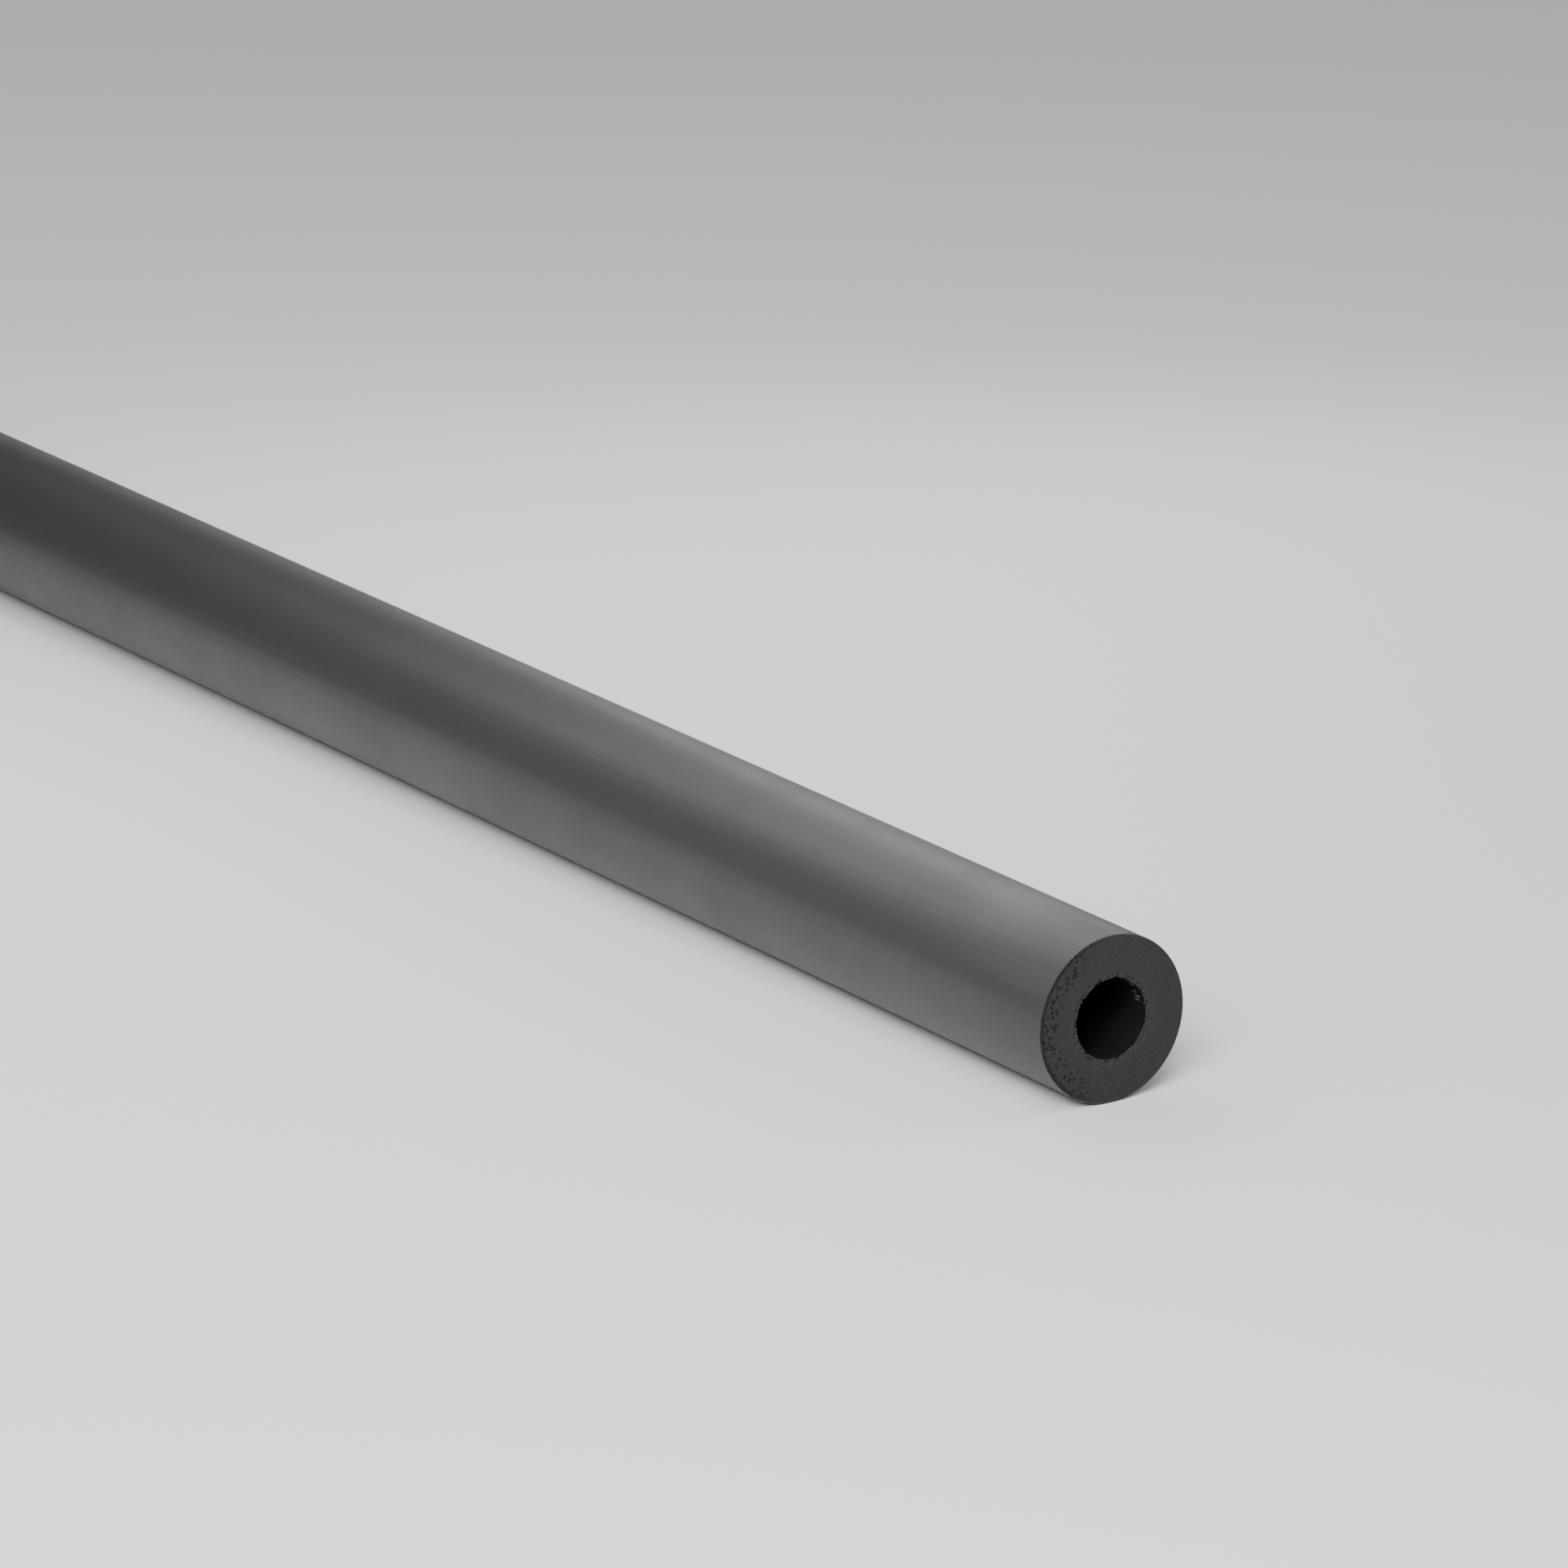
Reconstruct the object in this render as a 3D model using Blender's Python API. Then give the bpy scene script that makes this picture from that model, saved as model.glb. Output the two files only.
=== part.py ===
"""Closed-cell rubber foam pipe lagging: one straight extruded tube, cut square at both ends and lying on its side.

Metres, +Z up. The bore's axis runs along X, and the origin is on that axis, halfway along the tube.
"""

import math

import bmesh
import bpy
from mathutils import Matrix, Vector

# Driving dimensions
PIPE_DIAMETER = 0.022
BORE_CLEARANCE = 0.0015
WALL_THICKNESS = 0.013
LENGTH = 2.0
OUTER_RIM_RADIUS = 0.0010
BORE_RIM_RADIUS = 0.0006

# Worked out from them
BORE_RADIUS = (PIPE_DIAMETER + BORE_CLEARANCE) / 2
OUTER_RADIUS = BORE_RADIUS + WALL_THICKNESS
HALF_LENGTH = LENGTH / 2

# The tube is a prism with this many flats, and it lies on one of them
SIDES = 64
RIM_STEPS = 3

# Finish of the skin
SKIN_COLOUR = "#4B4A4B"
SKIN_ROUGHNESS = 0.62


def clear_scene():
    for old in list(bpy.data.objects):
        bpy.data.objects.remove(old)


def linear_colour(hex_code):
    """The linear RGBA of an sRGB hex colour."""
    channels = [int(hex_code[start : start + 2], 16) / 255 for start in (1, 3, 5)]
    linear = [c / 12.92 if c <= 0.04045 else ((c + 0.055) / 1.055) ** 2.4 for c in channels]
    return (*linear, 1.0)


def foam_material():
    """Soft black rubber foam: no metal in it, and a skin that is neither matt nor glossy."""
    material = bpy.data.materials.new("nitrile_rubber_foam")
    material.use_nodes = True
    shader = material.node_tree.nodes["Principled BSDF"]
    shader.inputs["Base Color"].default_value = linear_colour(SKIN_COLOUR)
    shader.inputs["Roughness"].default_value = SKIN_ROUGHNESS
    shader.inputs["Metallic"].default_value = 0.0
    material.diffuse_color = linear_colour(SKIN_COLOUR)
    return material


def rounded_corner(centre_x, centre_r, radius, first_degrees, last_degrees):
    """Points (x, distance from the axis) of one rounded rim, from the first angle to the last."""
    points = []
    for step in range(RIM_STEPS + 1):
        angle = math.radians(first_degrees + (last_degrees - first_degrees) * step / RIM_STEPS)
        points.append((centre_x + radius * math.cos(angle), centre_r + radius * math.sin(angle)))
    return points


def wall_section():
    """The closed outline of the wall, cut along the tube: the outer rims and the bore's rims are all rounded."""
    outer_x = HALF_LENGTH - OUTER_RIM_RADIUS
    outer_r = OUTER_RADIUS - OUTER_RIM_RADIUS
    bore_x = HALF_LENGTH - BORE_RIM_RADIUS
    bore_r = BORE_RADIUS + BORE_RIM_RADIUS
    return (
        rounded_corner(outer_x, outer_r, OUTER_RIM_RADIUS, 90, 0)
        + rounded_corner(bore_x, bore_r, BORE_RIM_RADIUS, 0, -90)
        + rounded_corner(-bore_x, bore_r, BORE_RIM_RADIUS, -90, -180)
        + rounded_corner(-outer_x, outer_r, OUTER_RIM_RADIUS, 180, 90)
    )


def foam_tube():
    """Spins the wall's section once round the X axis. Half a step's turn puts a flat, and not an edge, underneath."""
    half_flat = math.pi / SIDES
    turn = Matrix.Rotation(half_flat, 3, "X")
    bm = bmesh.new()
    ring = [bm.verts.new(turn @ Vector((x, 0.0, -r))) for x, r in wall_section()]
    outline = [bm.edges.new((start, end)) for start, end in zip(ring, ring[1:] + ring[:1])]
    bmesh.ops.spin(
        bm,
        geom=ring + outline,
        axis=(1.0, 0.0, 0.0),
        cent=(0.0, 0.0, 0.0),
        angle=2 * math.pi,
        steps=SIDES,
        use_merge=True,
    )
    bmesh.ops.recalc_face_normals(bm, faces=bm.faces)
    mesh = bpy.data.meshes.new("foam_tube")
    bm.to_mesh(mesh)
    bm.free()
    mesh.shade_smooth()
    mesh.set_sharp_from_angle(angle=math.radians(40))
    mesh.materials.append(foam_material())
    tube = bpy.data.objects.new("foam_tube", mesh)
    bpy.context.scene.collection.objects.link(tube)
    return tube


clear_scene()
foam_tube()
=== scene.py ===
# %% [markdown]
# Pipe lagging: a lesson in three surfaces
#
# This is one length of pipe lagging, the soft dark tube that a plumber slips over a pipe to keep
# its warmth in. It is nitrile rubber, blown full of tiny gas bubbles and squeezed out of a round
# die. The die leaves a smooth satin skin on the outside, the mandrel in its middle leaves a dull
# one in the bore, and the knife that cuts the lengths opens the bubbles at both ends. So a very
# plain shape has three finishes, and most of this lesson is about telling them apart.

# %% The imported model
import math

import bmesh
import bpy
from mathutils import Matrix, Vector


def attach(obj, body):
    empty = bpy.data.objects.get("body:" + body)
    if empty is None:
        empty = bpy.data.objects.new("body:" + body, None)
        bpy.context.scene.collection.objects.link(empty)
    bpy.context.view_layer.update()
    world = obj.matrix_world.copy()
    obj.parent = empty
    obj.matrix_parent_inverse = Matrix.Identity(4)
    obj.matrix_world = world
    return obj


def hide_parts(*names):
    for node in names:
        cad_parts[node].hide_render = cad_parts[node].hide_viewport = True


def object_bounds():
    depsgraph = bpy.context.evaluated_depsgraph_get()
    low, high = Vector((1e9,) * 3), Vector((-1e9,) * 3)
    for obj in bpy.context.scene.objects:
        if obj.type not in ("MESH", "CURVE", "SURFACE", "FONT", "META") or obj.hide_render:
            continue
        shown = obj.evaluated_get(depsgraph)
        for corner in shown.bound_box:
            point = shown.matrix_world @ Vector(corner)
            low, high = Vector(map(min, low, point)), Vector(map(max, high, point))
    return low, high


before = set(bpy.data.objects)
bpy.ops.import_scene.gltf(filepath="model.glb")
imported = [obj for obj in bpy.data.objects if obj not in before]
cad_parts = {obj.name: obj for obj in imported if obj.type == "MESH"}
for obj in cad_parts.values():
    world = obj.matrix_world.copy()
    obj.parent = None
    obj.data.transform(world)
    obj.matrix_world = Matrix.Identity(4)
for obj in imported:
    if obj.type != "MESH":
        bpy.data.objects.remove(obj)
cad_low, cad_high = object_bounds()
print("the solid model's box:", [round(side * 1000, 1) for side in cad_high - cad_low], "mm")

# %% [markdown]
# Sizes come from the solid model, so the dressed tube lies exactly where the solid one does. The
# solid is a prism with many flat sides and its bore's corners lie on the true circle, so the
# nearest corner gives the bore's radius. Half the height of the box gives the outer radius.
# Everything else on the tube is a small size of its own.

# %% Sizes of the tube
MM = 0.001
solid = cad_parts["foam_tube"]
LENGTH = cad_high.x - cad_low.x
OUTER_RADIUS = (cad_high.z - cad_low.z) / 2
BORE_RADIUS = min(math.hypot(corner.co.y, corner.co.z) for corner in solid.data.vertices)
OUTER_RIM = 0.4 * MM
BORE_RIM = 0.5 * MM
print(f"length {LENGTH:.3f} m")
print(f"outer radius {OUTER_RADIUS / MM:.2f} mm, bore radius {BORE_RADIUS / MM:.2f} mm")

# %% [markdown]
# Blender's mesh operators work on whatever is selected, and a freshly loaded model is selected all
# over. These helpers clear the selection first and then pick faces, edges or corners by where they
# are, as a person would with the mouse.


# %% Picking by place
def start_editing(piece):
    """Makes the piece the only selected object and goes into edit mode on it."""
    bpy.ops.object.select_all(action="DESELECT")
    piece.select_set(True)
    bpy.context.view_layer.objects.active = piece
    bpy.ops.object.mode_set(mode="EDIT")


def stop_editing():
    """Goes back to object mode, which writes the edits to the mesh."""
    bpy.ops.object.mode_set(mode="OBJECT")


def pick(piece, kind, wanted):
    """Selects the faces, edges or corners that wanted() accepts and no others. Returns how many."""
    bpy.ops.mesh.select_mode(type=kind)
    bpy.ops.mesh.select_all(action="DESELECT")
    mesh = bmesh.from_edit_mesh(piece.data)
    parts = {"FACE": mesh.faces, "EDGE": mesh.edges, "VERT": mesh.verts}[kind]
    found = [part for part in parts if wanted(part)]
    for part in found:
        part.select_set(True)
    bmesh.update_edit_mesh(piece.data)
    return len(found)


def from_axis(point):
    """How far a point is from the tube's axis, which runs along X."""
    return math.hypot(point.y, point.z)


def close_to(value, target):
    """Whether two sizes agree to a hundredth of a millimetre."""
    return abs(value - target) < 0.01 * MM


# %% [markdown]
# The blank is a cylinder with 512 sides. Such a tube looks round with far fewer, but its cut ends
# need a mesh fine enough to hold the opened bubbles, and the rings there have the same number of
# sides as the skin. The two end edges are bevelled while each end is still a single face: once
# there are rings beside them, a bevel would run into the first ring. A knife through soft foam
# leaves an edge of about half a millimetre, not a sharp one.

# %% The blank
SIDES = 512
RIM_STEPS = 4
bpy.ops.object.select_all(action="DESELECT")
bpy.ops.mesh.primitive_cylinder_add(
    vertices=SIDES,
    radius=OUTER_RADIUS,
    depth=LENGTH,
    end_fill_type="NGON",
    rotation=(0, math.radians(90), 0),
)
tube = bpy.context.object
tube.name = tube.data.name = "lagging_tube"
bpy.ops.object.transform_apply(location=True, rotation=True, scale=True)

start_editing(tube)
end_edges = pick(tube, "EDGE", lambda edge: close_to(edge.verts[0].co.x, edge.verts[1].co.x))
bpy.ops.mesh.bevel(offset=OUTER_RIM, segments=RIM_STEPS, affect="EDGES")
print("end edges rounded:", end_edges)

# %% [markdown]
# Each end is now one face, and insets turn it into rings that march in towards the bore. The next
# few insets also sink a little, along a quarter of a circle, and that rounds the bore's rim. An
# inset that only sinks then goes on straight down the bore, each one half as deep again as the
# last, because only the mouth of the bore has any detail. What is left in the middle of each end is
# deleted, and bridging the two holes makes the rest of the bore.

# %% Rings on the cut ends, and the bore
CUT_RINGS = 56
MOUTH_RINGS = 10
FIRST_MOUTH_RING = 0.3 * MM
MOUTH_RING_GROWTH = 1.5
BORE_STATIONS = 5
cut_width = (OUTER_RADIUS - OUTER_RIM) - (BORE_RADIUS + BORE_RIM)
inset_shrink = math.cos(math.pi / SIDES)

ends = pick(tube, "FACE", lambda face: len(face.verts) == SIDES)
for ring in range(CUT_RINGS):
    bpy.ops.mesh.inset(thickness=cut_width / CUT_RINGS * inset_shrink, depth=0)
for step in range(RIM_STEPS):
    start, end = (math.radians(90) * (step + k) / RIM_STEPS for k in (0, 1))
    inwards = BORE_RIM * (math.sin(end) - math.sin(start))
    deeper = BORE_RIM * (math.cos(start) - math.cos(end))
    bpy.ops.mesh.inset(thickness=inwards * inset_shrink, depth=-deeper)
for ring in range(MOUTH_RINGS):
    bpy.ops.mesh.inset(thickness=0, depth=-FIRST_MOUTH_RING * MOUTH_RING_GROWTH**ring)
bpy.ops.mesh.delete(type="FACE")

bpy.ops.mesh.select_mode(type="EDGE")
bpy.ops.mesh.select_all(action="DESELECT")
bpy.ops.mesh.select_non_manifold()
bpy.ops.mesh.bridge_edge_loops(number_cuts=BORE_STATIONS, interpolation="LINEAR")
stop_editing()
print("ends given a bore:", ends, "- faces now:", len(tube.data.polygons))

# %% [markdown]
# The skin is still made of 512 strips, each as long as the tube. Cutting every long edge of the
# outside at the same places gives rings of faces, so that the skin can later swell and shrink a
# little along its length. A subdivide that gets only those edges leaves the ends and the bore
# alone.

# %% Rings along the skin
SKIN_STATIONS = 30


def runs_along_skin(edge):
    """Whether an edge is one of the long ones on the outside."""
    first, last = (end.co for end in edge.verts)
    return abs(first.x - last.x) > LENGTH / 2 and close_to(from_axis(first), OUTER_RADIUS)


start_editing(tube)
strips = pick(tube, "EDGE", runs_along_skin)
bpy.ops.mesh.subdivide(number_cuts=SKIN_STATIONS)
bpy.ops.mesh.select_all(action="SELECT")
bpy.ops.mesh.normals_make_consistent(inside=False)
stop_editing()
print("skin strips cut:", strips, "- faces now:", len(tube.data.polygons))

# %% [markdown]
# The three surfaces get names before anything is bent out of true, because they are told apart by
# exact radius and place. Material slots hold faces. Vertex groups hold corners, and the modifiers
# below use them as masks.

# %% Naming the three surfaces
SURFACES = ("skin", "cut", "bore")


def surface_at(point):
    """Which surface a point of the blank is on. The outer rim is skin and the bore's rim is cut."""
    if close_to(from_axis(point), BORE_RADIUS):
        return "bore"
    on_end = close_to(abs(point.x), LENGTH / 2)
    near_bore = from_axis(point) < (OUTER_RADIUS + BORE_RADIUS) / 2
    return "cut" if on_end or near_bore else "skin"


start_editing(tube)
for slot, surface in enumerate(SURFACES):
    bpy.ops.object.material_slot_add()
    tube.active_material_index = slot
    faces = pick(tube, "FACE", lambda face: surface_at(face.calc_center_median()) == surface)
    bpy.ops.object.material_slot_assign()
    corners = pick(tube, "VERT", lambda corner: surface_at(corner.co) == surface)
    bpy.ops.object.vertex_group_assign_new()
    tube.vertex_groups.active.name = surface
    print(f"{surface}: {faces} faces, {corners} corners")
stop_editing()

# %% [markdown]
# Two more groups hold corners by degrees, with weights between 0 and 1.
#
# The knife goes through cleanly in the thick of the foam, and tears it where it breaks through into
# the bore. The lip's weights fall off from the bore's edge to nothing over a few millimetres, on
# the cut and down the bore alike.
#
# Foam is coarser where it cooled last. On this tube that is one side, under the skin: there the cut
# shows rows of burst bubbles, and the rest of it is fine and even. The weights of the coarse foam
# grow towards that side, -Y, and towards the skin.

# %% The lip of the bore and the coarse foam
LIP_WIDTH = 2.2 * MM
COARSE_SIDE = (0.1, 0.6)
COARSE_WALL = (0.35, 0.65)


def rise(value, limits):
    """0 below the lower limit, 1 above the upper one, and a straight slope between them."""
    low, high = limits
    return min(max((value - low) / (high - low), 0.0), 1.0)


lip = tube.vertex_groups.new(name="lip")
coarse = tube.vertex_groups.new(name="coarse_foam")
for corner in tube.data.vertices:
    radius = from_axis(corner.co)
    from_edge = math.hypot(LENGTH / 2 - abs(corner.co.x), radius - BORE_RADIUS)
    if from_edge < LIP_WIDTH:
        lip.add([corner.index], 1 - from_edge / LIP_WIDTH, "REPLACE")
    if surface_at(corner.co) == "cut":
        through_wall = (radius - BORE_RADIUS) / (OUTER_RADIUS - BORE_RADIUS)
        weight = rise(-corner.co.y / radius, COARSE_SIDE) * rise(through_wall, COARSE_WALL)
        coarse.add([corner.index], weight, "REPLACE")
print(f"the lip reaches {LIP_WIDTH / MM:.1f} mm from the bore's edge")

# %% [markdown]
# Relief comes from Displace modifiers, each with one of Blender's procedural textures, and each is
# applied at once so that the mesh itself holds the shape. A texture's values lie between 0 and
# about 1.1, so a mid level of 1.1 only ever pushes inwards, which keeps the tube inside its solid
# model.
#
# The bubbles of this foam are really about 0.3 mm across. They are drawn at 0.8 mm, because a
# render of the whole near end has two or three pixels for each millimetre and finer ones would not
# show. A Voronoi texture has its low points at the seeds and its high ones on the borders between
# them, just like bubbles with thin walls, cut open. In the coarse foam two or three bubbles have
# run together here and there. These burst pits are a second, wider Voronoi texture, with a colour
# ramp that leaves everything flat but the middle of each of its cells. How deep each corner went is
# kept in an attribute of the mesh, as a share of the pits' depth. The material reads it later to
# paint shade into the pits, and it starts at a tenth, because the mid level takes the flat parts in
# by that much. The lip's notches are made the same way, deep enough to make the bore's edge ragged.


# %% Pushing a surface about with a texture
MID_LEVEL = 1.1


def displace(piece, group, texture, depth, guide=None):
    """Pushes one vertex group inwards by a texture, and returns how far each corner went."""
    bpy.ops.object.select_all(action="DESELECT")
    piece.select_set(True)
    bpy.context.view_layer.objects.active = piece
    modifier = piece.modifiers.new(texture.name, "DISPLACE")
    modifier.texture = texture
    modifier.vertex_group = group
    modifier.strength = depth
    modifier.mid_level = MID_LEVEL
    modifier.texture_coords = "OBJECT" if guide else "LOCAL"
    modifier.texture_coords_object = guide
    before = [corner.co.copy() for corner in piece.data.vertices]
    bpy.ops.object.modifier_apply(modifier=modifier.name)
    moves = [(corner.co - old).length for corner, old in zip(piece.data.vertices, before)]
    print(f"{texture.name} moves the {group} by up to {max(moves) / MM:.3f} mm")
    bpy.data.textures.remove(texture)
    return moves


def pitted(name, spacing, share):
    """A texture that is flat but for round pits. They end at that share of their spacing from their
    middle, and are flat at the bottom over a third of that."""
    texture = bpy.data.textures.new(name, "VORONOI")
    texture.noise_scale = spacing
    texture.use_color_ramp = True
    bottom, brim = texture.color_ramp.elements
    bottom.color = (0, 0, 0, 1)
    bottom.position = share / 3
    brim.color = (1, 1, 1, 1)
    brim.position = share
    return texture


# %% The knife's cut, the opened bubbles and the torn lip
KNIFE_WAVE = 9 * MM
KNIFE_DEPTH = 0.22 * MM
CELL_SIZE = 0.8 * MM
CELL_DEPTH = 0.20 * MM
PIT_SPACING = 1.4 * MM
PIT_SHARE = 0.40
PIT_DEPTH = 0.60 * MM
NOTCH_SPACING = 1.3 * MM
NOTCH_SHARE = 0.5
NOTCH_DEPTH = 1.2 * MM

knife = bpy.data.textures.new("knife_waves", "CLOUDS")
knife.noise_scale = KNIFE_WAVE
displace(tube, "cut", knife, KNIFE_DEPTH)

bubbles = bpy.data.textures.new("opened_bubbles", "VORONOI")
bubbles.noise_scale = CELL_SIZE
displace(tube, "cut", bubbles, CELL_DEPTH)

moves = displace(tube, "coarse_foam", pitted("burst_pits", PIT_SPACING, PIT_SHARE), PIT_DEPTH)
# The depth of each pit, which the cut's material turns into painted shade
burst = tube.data.attributes.new("burst", "FLOAT", "POINT")
burst.data.foreach_set("value", [move / PIT_DEPTH for move in moves])

displace(tube, "lip", pitted("torn_lip", NOTCH_SPACING, NOTCH_SHARE), NOTCH_DEPTH)

# %% [markdown]
# The skin is not quite true either. Hot foam swells unevenly as it leaves the die, so the tube is
# very slightly thick and thin along its length, and the die's edge draws faint lines along it. A
# texture is the same size in every direction, so the lines need it stretched along the tube. An
# empty does that: it is scaled up along X, and the modifier reads the texture in the empty's space.

# %% Swelling and die lines
SWELL_WAVE = 180 * MM
SWELL_DEPTH = 0.15 * MM
DIE_LINE_SPACING = 2.2 * MM
DIE_LINE_DEPTH = 0.05 * MM
DIE_LINE_STRETCH = 400
SMOOTH_ANGLE = math.radians(50)

swelling = bpy.data.textures.new("uneven_swelling", "CLOUDS")
swelling.noise_scale = SWELL_WAVE
swelling.noise_depth = 1
displace(tube, "skin", swelling, SWELL_DEPTH)

bpy.ops.object.empty_add(type="PLAIN_AXES")
stretcher = bpy.context.object
stretcher.scale = (DIE_LINE_STRETCH, 1, 1)
bpy.context.view_layer.update()
die_lines = bpy.data.textures.new("die_lines", "CLOUDS")
die_lines.noise_scale = DIE_LINE_SPACING
displace(tube, "skin", die_lines, DIE_LINE_DEPTH, guide=stretcher)
bpy.data.objects.remove(stretcher)

bpy.ops.object.select_all(action="DESELECT")
tube.select_set(True)
bpy.context.view_layer.objects.active = tube
bpy.ops.object.shade_smooth_by_angle(angle=SMOOTH_ANGLE)
tube.data.calc_loop_triangles()
print("triangles in the finished tube:", len(tube.data.loop_triangles))

# %% [markdown]
# Now the finishes. All three patterns read Object coordinates, which are metres along the tube and
# across it, so the size of every pattern can be written as a real one. Noise and Voronoi textures
# take a scale, the number of features in a metre, and that is one over the size of a feature.
#
# One small function adds a node. It takes the values or the links of its sockets by name. A Mix
# node has several sockets with the same name, one for each type of data, and only those in use are
# enabled.


# %% Colours and nodes
def linear(hex_code):
    """An sRGB hex colour as linear RGBA, which is what shaders take."""
    channels = [int(hex_code[start : start + 2], 16) / 255 for start in (1, 3, 5)]
    straight = [c / 12.92 if c <= 0.04045 else ((c + 0.055) / 1.055) ** 2.4 for c in channels]
    return (*straight, 1.0)


def named(sockets, name):
    """The socket of that name that is in use."""
    return next(socket for socket in sockets if socket.name == name and socket.enabled)


def add_node(material, kind, links=None, values=None, **settings):
    """Adds a node. Links feed its sockets, values set them, and settings are the node's options."""
    node = material.node_tree.nodes.new(kind)
    for option, value in settings.items():
        setattr(node, option, value)
    for socket, value in (values or {}).items():
        named(node.inputs, socket).default_value = value
    for socket, source in (links or {}).items():
        material.node_tree.links.new(source, named(node.inputs, socket))
    return node


def new_material(name, roughness, ior):
    """A material with its shader's plain values set, and the coordinates that its patterns read."""
    material = bpy.data.materials.new(name)
    material.use_nodes = True
    shader = material.node_tree.nodes["Principled BSDF"]
    shader.inputs["Roughness"].default_value = roughness
    shader.inputs["IOR"].default_value = ior
    shader.inputs["Metallic"].default_value = 0.0
    place = add_node(material, "ShaderNodeTexCoord").outputs["Object"]
    return material, shader, place


def wear(material, surface):
    """Puts a material on one of the tube's three surfaces."""
    tube.material_slots[SURFACES.index(surface)].material = material
    print(f"{surface} wears {material.name}")


def per_metre(size):
    """How many features of that size a metre holds, which is a texture's scale."""
    return 1 / size


# %% [markdown]
# Nitrile rubber foam, extruded skin. The rubber is filled with carbon black, and the skin that the
# die leaves is closed and smooth: a dark grey satin that reflects a broad, soft highlight. Typical
# rubber has an index of refraction of 1.52. Under the satin lie faint lines from the die, a slight
# cloudiness where the skin is thicker or thinner, and a grain that only breaks up the highlight.

# %% The extruded skin
RUBBER_IOR = 1.52
SKIN_GREY = "#2C2B2C"
SKIN_GREY_CLOUDED = "#272627"
SKIN_ROUGHNESS = 0.45
SKIN_ROUGHNESS_CHANGE = 0.03
CLOUD_SIZE = 35 * MM
CLOUD_RANGE = (0.3, 0.7)
DIE_LINE_BUMP = 0.04 * MM
SKIN_GRAIN = 0.8 * MM
SKIN_GRAIN_DEPTH = 0.04 * MM

skin, skin_shader, place = new_material(
    "nitrile_rubber_foam_extruded_skin", SKIN_ROUGHNESS, RUBBER_IOR
)
clouds = add_node(
    skin,
    "ShaderNodeTexNoise",
    {"Vector": place},
    {"Scale": per_metre(CLOUD_SIZE), "Detail": 3.0},
)
lengthways = add_node(
    skin, "ShaderNodeMapping", {"Vector": place}, {"Scale": (1 / DIE_LINE_STRETCH, 1, 1)}
)
lines = add_node(
    skin,
    "ShaderNodeTexNoise",
    {"Vector": lengthways.outputs["Vector"]},
    {"Scale": per_metre(DIE_LINE_SPACING), "Detail": 4.0},
)
colour = add_node(
    skin,
    "ShaderNodeMix",
    {"Factor": clouds.outputs["Fac"]},
    {"A": linear(SKIN_GREY), "B": linear(SKIN_GREY_CLOUDED)},
    data_type="RGBA",
)
grain = add_node(
    skin,
    "ShaderNodeTexNoise",
    {"Vector": place},
    {"Scale": per_metre(SKIN_GRAIN), "Detail": 2.0},
)
grain_bump = add_node(
    skin,
    "ShaderNodeBump",
    {"Height": grain.outputs["Fac"]},
    {"Strength": 1.0, "Distance": SKIN_GRAIN_DEPTH},
)
line_bump = add_node(
    skin,
    "ShaderNodeBump",
    {"Height": lines.outputs["Fac"], "Normal": grain_bump.outputs["Normal"]},
    {"Strength": 1.0, "Distance": DIE_LINE_BUMP},
)
gloss = add_node(
    skin,
    "ShaderNodeMapRange",
    {"Value": clouds.outputs["Fac"]},
    {
        "From Min": CLOUD_RANGE[0],
        "From Max": CLOUD_RANGE[1],
        "To Min": SKIN_ROUGHNESS - SKIN_ROUGHNESS_CHANGE,
        "To Max": SKIN_ROUGHNESS + SKIN_ROUGHNESS_CHANGE,
    },
)
skin.node_tree.links.new(named(colour.outputs, "Result"), skin_shader.inputs["Base Color"])
skin.node_tree.links.new(gloss.outputs["Result"], skin_shader.inputs["Roughness"])
skin.node_tree.links.new(line_bump.outputs["Normal"], skin_shader.inputs["Normal"])
wear(skin, "skin")

# %% [markdown]
# Nitrile rubber foam, knife-cut. The blade opens the bubbles, so the cut is matt and a little
# darker than the skin: light that goes into a bubble mostly stays there. The mesh's relief is too
# coarse for the smallest bubbles, and a Voronoi texture adds them, as painted shade in the bubbles
# and as a finer bump. These too are drawn larger than the real ones, at 0.55 mm, or they would not
# show. The burst pits get painted shade darker still, by how deep they are, and that is read from
# the attribute that the relief left on the mesh. Around the bore the foam cooled against the
# mandrel and its bubbles stayed small, so a ring there is denser and a shade paler. The ring reads
# how far a point is from the axis, from the same coordinates without their X.
#
# Right under the skin, on the coarse side, a thin line of painted shade stands for bubbles that
# run together there, and it breaks off here and there. Three Map Range nodes make it, for the side,
# the distance from the axis and the breaks. Each gives its result to the next as To Max, which
# multiplies the two.

# %% The cut ends
CUT_WALLS = "#201F20"
CUT_DENSE = "#282627"
# Painted shade in the opened bubbles, which the mesh is too coarse to hold
CUT_BUBBLE_SHADE = "#111011"
# Painted shade at the bottom of the burst pits
BURST_PIT_SHADE = "#060606"
PIT_SHADE_RANGE = (0.10, 0.45)
DENSE_RING = 4 * MM
CUT_ROUGHNESS = 0.9
FINE_CELL = 0.55 * MM
FINE_CELL_RANGE = (0.1, 0.6)
FINE_CELL_DEPTH = 0.12 * MM
LINE_REACH = (2.0 * MM, 1.2 * MM)
LINE_BREAKS = 2 * MM
LINE_BREAK_RANGE = (0.30, 0.45)
# Painted shade in a thin line just under the skin
LINE_SHADE = "#020202"

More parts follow.
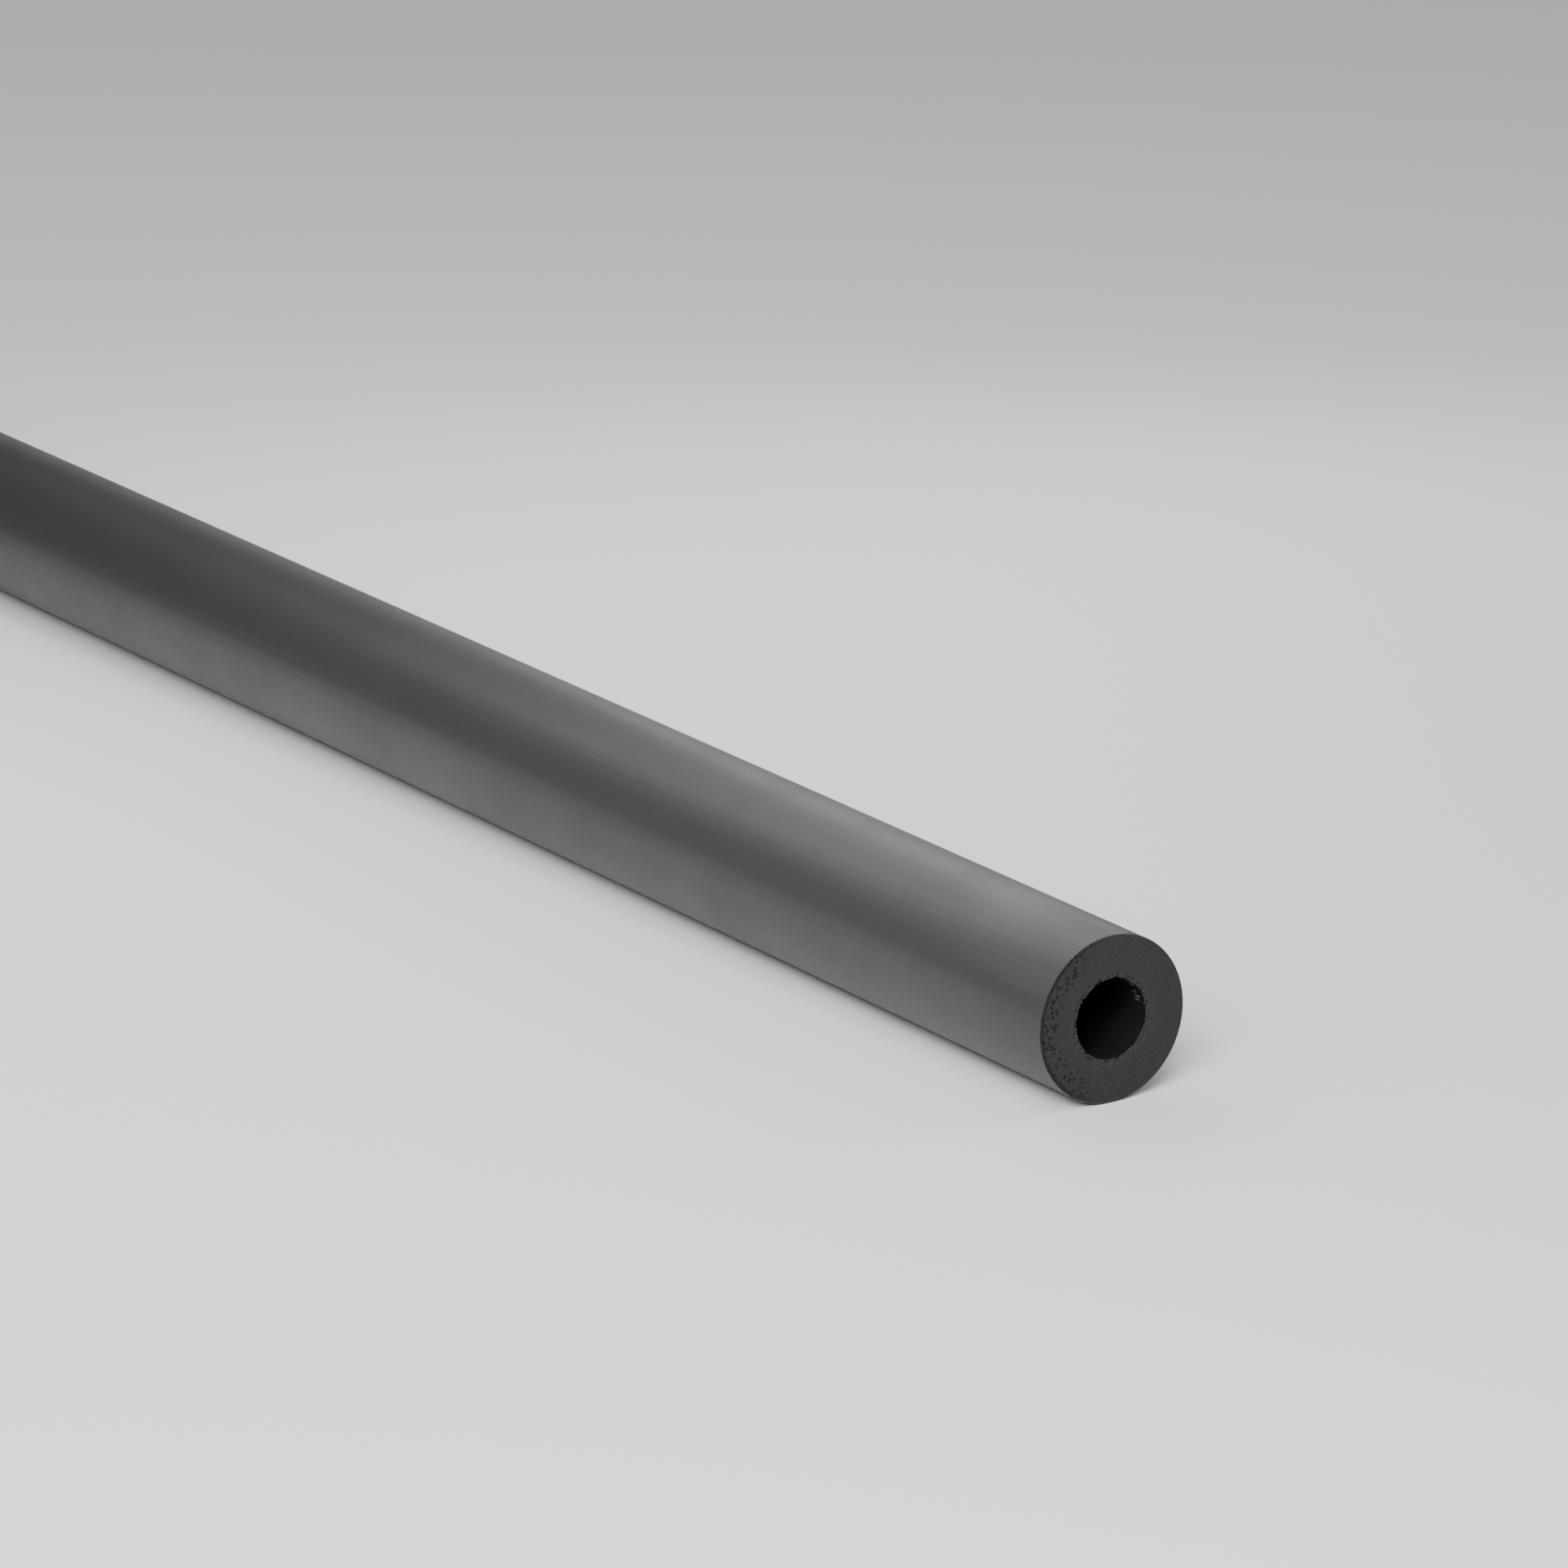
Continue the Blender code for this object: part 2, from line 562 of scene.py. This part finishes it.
cut, cut_shader, place = new_material("nitrile_rubber_foam_knife_cut", CUT_ROUGHNESS, RUBBER_IOR)
cells = add_node(cut, "ShaderNodeTexVoronoi", {"Vector": place}, {"Scale": per_metre(FINE_CELL)})
bubble_walls = add_node(
    cut,
    "ShaderNodeMapRange",
    {"Value": cells.outputs["Distance"]},
    {"From Min": FINE_CELL_RANGE[0], "From Max": FINE_CELL_RANGE[1]},
)
flat = add_node(cut, "ShaderNodeVectorMath", {"Vector": place}, operation="MULTIPLY")
flat.inputs[1].default_value = (0, 1, 1)
radius = add_node(
    cut, "ShaderNodeVectorMath", {"Vector": flat.outputs["Vector"]}, operation="LENGTH"
)
density = add_node(
    cut,
    "ShaderNodeMapRange",
    {"Value": radius.outputs["Value"]},
    {"From Min": BORE_RADIUS, "From Max": BORE_RADIUS + DENSE_RING, "To Min": 1.0, "To Max": 0.0},
)
wall_colour = add_node(
    cut,
    "ShaderNodeMix",
    {"Factor": density.outputs["Result"]},
    {"A": linear(CUT_WALLS), "B": linear(CUT_DENSE)},
    data_type="RGBA",
)
# Painted shade in the bubbles: darker where the Voronoi distance is small
bubble_shaded_colour = add_node(
    cut,
    "ShaderNodeMix",
    {"Factor": bubble_walls.outputs["Result"], "B": named(wall_colour.outputs, "Result")},
    {"A": linear(CUT_BUBBLE_SHADE)},
    data_type="RGBA",
)
# Painted shade in the burst pits: the deeper the pit, the darker
burst_depth = add_node(cut, "ShaderNodeAttribute", attribute_name="burst")
pit_shade_share = add_node(
    cut,
    "ShaderNodeMapRange",
    {"Value": burst_depth.outputs["Fac"]},
    {"From Min": PIT_SHADE_RANGE[0], "From Max": PIT_SHADE_RANGE[1]},
)
pit_shaded_colour = add_node(
    cut,
    "ShaderNodeMix",
    {"Factor": pit_shade_share.outputs["Result"], "A": named(bubble_shaded_colour.outputs, "Result")},
    {"B": linear(BURST_PIT_SHADE)},
    data_type="RGBA",
)
sides = add_node(cut, "ShaderNodeSeparateXYZ", {"Vector": place})
coarse_side = add_node(
    cut,
    "ShaderNodeMapRange",
    {"Value": sides.outputs["Y"]},
    {"From Min": -COARSE_SIDE[0] * OUTER_RADIUS, "From Max": -COARSE_SIDE[1] * OUTER_RADIUS},
)
under_skin = add_node(
    cut,
    "ShaderNodeMapRange",
    {"Value": radius.outputs["Value"], "To Max": coarse_side.outputs["Result"]},
    {"From Min": OUTER_RADIUS - LINE_REACH[0], "From Max": OUTER_RADIUS - LINE_REACH[1]},
)
breaks = add_node(
    cut,
    "ShaderNodeTexNoise",
    {"Vector": place},
    {"Scale": per_metre(LINE_BREAKS), "Detail": 2.0},
)
broken_line = add_node(
    cut,
    "ShaderNodeMapRange",
    {"Value": breaks.outputs["Fac"], "To Max": under_skin.outputs["Result"]},
    {"From Min": LINE_BREAK_RANGE[0], "From Max": LINE_BREAK_RANGE[1]},
)
# The thin line of painted shade under the skin, on the coarse side
line_shaded_colour = add_node(
    cut,
    "ShaderNodeMix",
    {"Factor": broken_line.outputs["Result"], "A": named(pit_shaded_colour.outputs, "Result")},
    {"B": linear(LINE_SHADE)},
    data_type="RGBA",
)
cell_bump = add_node(
    cut,
    "ShaderNodeBump",
    {"Height": cells.outputs["Distance"]},
    {"Strength": 1.0, "Distance": FINE_CELL_DEPTH},
)
cut.node_tree.links.new(named(line_shaded_colour.outputs, "Result"), cut_shader.inputs["Base Color"])
cut.node_tree.links.new(cell_bump.outputs["Normal"], cut_shader.inputs["Normal"])
wear(cut, "cut")

# %% [markdown]
# Nitrile rubber foam, bore wall. The die's mandrel leaves a rougher skin inside, dull black, and
# almost no light gets in. Its colour is far darker than the rubber's own, so part of that black is
# painted shade. Just inside the mouth, on the upper side, pinpoints of painted highlight stand for
# glints on burst cells at the bore's edge. Each is the middle of a Voronoi cell. One sees that wall
# at a very low angle, where a round glint would be a line too thin to notice, so the cells are
# stretched along the bore, and the glints with them. How deep a point lies in the bore is read from
# X, whose size without its sign is the same at both mouths, and the glints thin out over the first
# few millimetres. How high it lies is read from Z, and only the upper side, where the light falls,
# gets glints. Map Range nodes multiply these as they do for the line of painted shade.

# %% The bore
# Far darker than the rubber's own black: partly the dull bore skin, partly painted shade
BORE_BLACK_AND_SHADE = "#0A0A0A"
BORE_ROUGHNESS = 0.85
BORE_SHINE = 0.15
# Painted highlight: the grey of glints just inside the bore's mouth
GLINT_GREY = "#7C7875"
GLINT_SPACING = 1.2 * MM
GLINT_SIZE = 0.48 * MM
GLINT_STRETCH = 4
GLINT_REACH = 6 * MM
GLINT_HEIGHT = (0, 0.3 * BORE_RADIUS)

bore, bore_shader, place = new_material(
    "nitrile_rubber_foam_bore_with_painted_glints", BORE_ROUGHNESS, RUBBER_IOR
)
bore_shader.inputs["Specular IOR Level"].default_value = BORE_SHINE
stretched = add_node(
    bore, "ShaderNodeMapping", {"Vector": place}, {"Scale": (1 / GLINT_STRETCH, 1, 1)}
)
glint_cells = add_node(
    bore,
    "ShaderNodeTexVoronoi",
    {"Vector": stretched.outputs["Vector"]},
    {"Scale": per_metre(GLINT_SPACING)},
)
glint_share = GLINT_SIZE / GLINT_SPACING
glints = add_node(
    bore,
    "ShaderNodeMapRange",
    {"Value": glint_cells.outputs["Distance"]},
    {"From Min": glint_share / 2, "From Max": glint_share, "To Min": 1.0, "To Max": 0.0},
)
axes = add_node(bore, "ShaderNodeSeparateXYZ", {"Vector": place})
from_middle = add_node(bore, "ShaderNodeMath", {"Value": axes.outputs["X"]}, operation="ABSOLUTE")
nearness = add_node(
    bore,
    "ShaderNodeMapRange",
    {"Value": from_middle.outputs["Value"], "To Max": glints.outputs["Result"]},
    {"From Min": LENGTH / 2 - GLINT_REACH, "From Max": LENGTH / 2 - GLINT_REACH / 3},
)
# Painted glints only on the upper side of the bore, where the light falls
lit_side_glints = add_node(
    bore,
    "ShaderNodeMapRange",
    {"Value": axes.outputs["Z"], "To Max": nearness.outputs["Result"]},
    {"From Min": GLINT_HEIGHT[0], "From Max": GLINT_HEIGHT[1]},
)
bore_shade_and_glints = add_node(
    bore,
    "ShaderNodeMix",
    {"Factor": lit_side_glints.outputs["Result"]},
    {"A": linear(BORE_BLACK_AND_SHADE), "B": linear(GLINT_GREY)},
    data_type="RGBA",
)
bore.node_tree.links.new(named(bore_shade_and_glints.outputs, "Result"), bore_shader.inputs["Base Color"])
wear(bore, "bore")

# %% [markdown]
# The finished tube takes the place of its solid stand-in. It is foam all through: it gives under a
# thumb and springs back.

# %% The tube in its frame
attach(tube, "root")
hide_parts("foam_tube")

# %% [markdown]
# The studio is a pale floor in a dim room. Three wide suns, from overhead, from the front and from
# the back, shine from a direction and have no place, so they light the tube and the floor alike
# from end to end. A fourth is faint and low behind the tube, and draws the pale line along its top
# edge.
#
# A satin tube shows its other lights as bands that run along it. Four softboxes hang over the tube
# and behind it and aim at the near end. The upper side mirrors them, so the upper band is brightest
# there and fades along the tube. The lower side mirrors the floor, which the key light brightens
# round the near end, and a weaker light keeps the part to its left from going dark. Between the two
# the tube mirrors little but the dim room, and that is the dark band along its middle. The far end
# has a light of its own, so that its cut can be seen as well. It is aimed past the end, which keeps
# its light off the rest of the tube.


# %% Floor and light
def add_light(name, place, aim, size, power):
    """A soft rectangular light that hangs at a place, aims at a point and isn't seen itself."""
    bpy.ops.object.light_add(type="AREA", location=place)
    light = bpy.context.object
    light.name = name
    light.data.shape = "RECTANGLE"
    light.data.size, light.data.size_y = size
    light.data.energy = power
    light.rotation_euler = (Vector(aim) - Vector(place)).to_track_quat("-Z", "Y").to_euler()
    light.visible_camera = False
    print(f"{name} hangs at {place}, {power} W")


def add_sun(name, place, width, strength):
    """A light that is alike everywhere. It shines from the direction of a place, as a disc in the
    sky that is that many degrees wide."""
    bpy.ops.object.light_add(type="SUN", location=place)
    sun = bpy.context.object
    sun.name = name
    sun.data.angle = math.radians(width)
    sun.data.energy = strength
    sun.rotation_euler = Vector(place).to_track_quat("Z", "Y").to_euler()
    print(f"{name} shines from {place}, {strength} W for each square metre")


NEAR_END = Vector((cad_high.x, 0, 0))
FLOOR_WIDTH = 80
FLOOR_WHITE = "#E4E3E1"
PAINT_ROUGHNESS = 0.9
PAINT_IOR = 1.5
bpy.ops.object.select_all(action="DESELECT")
bpy.ops.mesh.primitive_plane_add(size=FLOOR_WIDTH, location=(0, 0, cad_low.z))
floor = bpy.context.object
floor.name = "studio_floor"
paint, paint_shader, place = new_material("matt_white_paint", PAINT_ROUGHNESS, PAINT_IOR)
paint_shader.inputs["Base Color"].default_value = linear(FLOOR_WHITE)
floor.data.materials.append(paint)

# Each softbox has its name, where it hangs, what it aims at, its two sides and its watts
add_light("key_light", (1.8, -0.8, 0.9), NEAR_END, (0.7, 0.7), 34)
add_light("left_light", (0.4, -0.8, 0.5), (0.9, 0, 0), (0.6, 0.4), 2.0)
add_light("upper_softbox", (0.15, 0.10, 1.0), (0.9, 0, 0), (0.8, 0.4), 3.3)
add_light("near_softbox", (0.45, -0.15, 0.42), (0.95, 0, 0), (0.3, 0.3), 0.8)
add_light("rear_softbox", (0.43, 0.20, 0.45), (0.98, 0, 0), (0.3, 0.25), 0.6)
add_light("low_softbox", (0.41, 0.45, 0.30), (0.98, 0, 0), (0.4, 0.2), 0.7)
add_light("far_light", (-1.6, 0.45, 0.6), (-1.84, -0.03, 0), (0.5, 0.5), 6.0)

# Each sun has its name, where it shines from, its width in degrees and its strength
add_sun("overhead_light", (1.0, -0.5, 3.5), 25, 0.6)
add_sun("front_light", (0.8, -2.0, 1.4), 25, 0.65)
add_sun("back_light", (0.5, 3.0, 1.6), 25, 0.8)
add_sun("rim_light", (-0.80, 0.57, 0.20), 20, 0.07)

# %% [markdown]
# The world is the dim room: it gives a little grey light from everywhere. A camera that looks past
# the floor's far edge would see it as nearly black, so rays straight from the camera get a pale
# grey in its place.

# %% The room
ROOM_LIGHT = 0.07
ROOM_SEEN = 0.8
ROOM_WHITE = "#FFFFFF"

room = bpy.data.worlds.new("dim_room")
bpy.context.scene.world = room
room.use_nodes = True
room_nodes = room.node_tree.nodes
room_light = room_nodes["Background"]
room_light.inputs["Color"].default_value = linear(ROOM_WHITE)
room_light.inputs["Strength"].default_value = ROOM_LIGHT
room_seen = room_nodes.new("ShaderNodeBackground")
room_seen.inputs["Color"].default_value = linear(ROOM_WHITE)
room_seen.inputs["Strength"].default_value = ROOM_SEEN
choice = room_nodes.new("ShaderNodeMixShader")
rays = room_nodes.new("ShaderNodeLightPath")
room.node_tree.links.new(rays.outputs["Is Camera Ray"], choice.inputs["Fac"])
room.node_tree.links.new(room_light.outputs["Background"], choice.inputs[1])
room.node_tree.links.new(room_seen.outputs["Background"], choice.inputs[2])
room.node_tree.links.new(choice.outputs["Shader"], room_nodes["World Output"].inputs["Surface"])

# %% [markdown]
# The camera stands about two metres from the near end with a long lens, looks down on the tube by
# 17 degrees, and sees it run off the left edge of the picture. Its place is worked out backwards:
# the middle of the near end has to land on a known point of the picture, at a known distance.

# %% Camera
PICTURE_SIZE = 1920
NEAR_END_IN_PICTURE = (1362, 1248)
AZIMUTH = math.radians(56.4)
ELEVATION = math.radians(17.1)
DISTANCE = 2.235
LENS = 184.3
SENSOR = 36.0

bpy.ops.object.camera_add()
camera = bpy.context.object
camera.name = "camera"
camera.data.sensor_width = SENSOR
camera.data.lens = LENS
back = Vector(
    (
        math.sin(AZIMUTH) * math.cos(ELEVATION),
        -math.cos(AZIMUTH) * math.cos(ELEVATION),
        math.sin(ELEVATION),
    )
)
right = Vector((math.cos(AZIMUTH), math.sin(AZIMUTH), 0))
up = back.cross(right)
pixel = DISTANCE * SENSOR / LENS / PICTURE_SIZE
across = (NEAR_END_IN_PICTURE[0] - PICTURE_SIZE / 2) * pixel
down = (NEAR_END_IN_PICTURE[1] - PICTURE_SIZE / 2) * pixel
stand = NEAR_END - right * across + up * down + back * DISTANCE
camera.matrix_world = Matrix.Translation(stand) @ Matrix((right, up, back)).transposed().to_4x4()
bpy.context.scene.camera = camera
print("camera stands at", [round(value, 3) for value in stand])
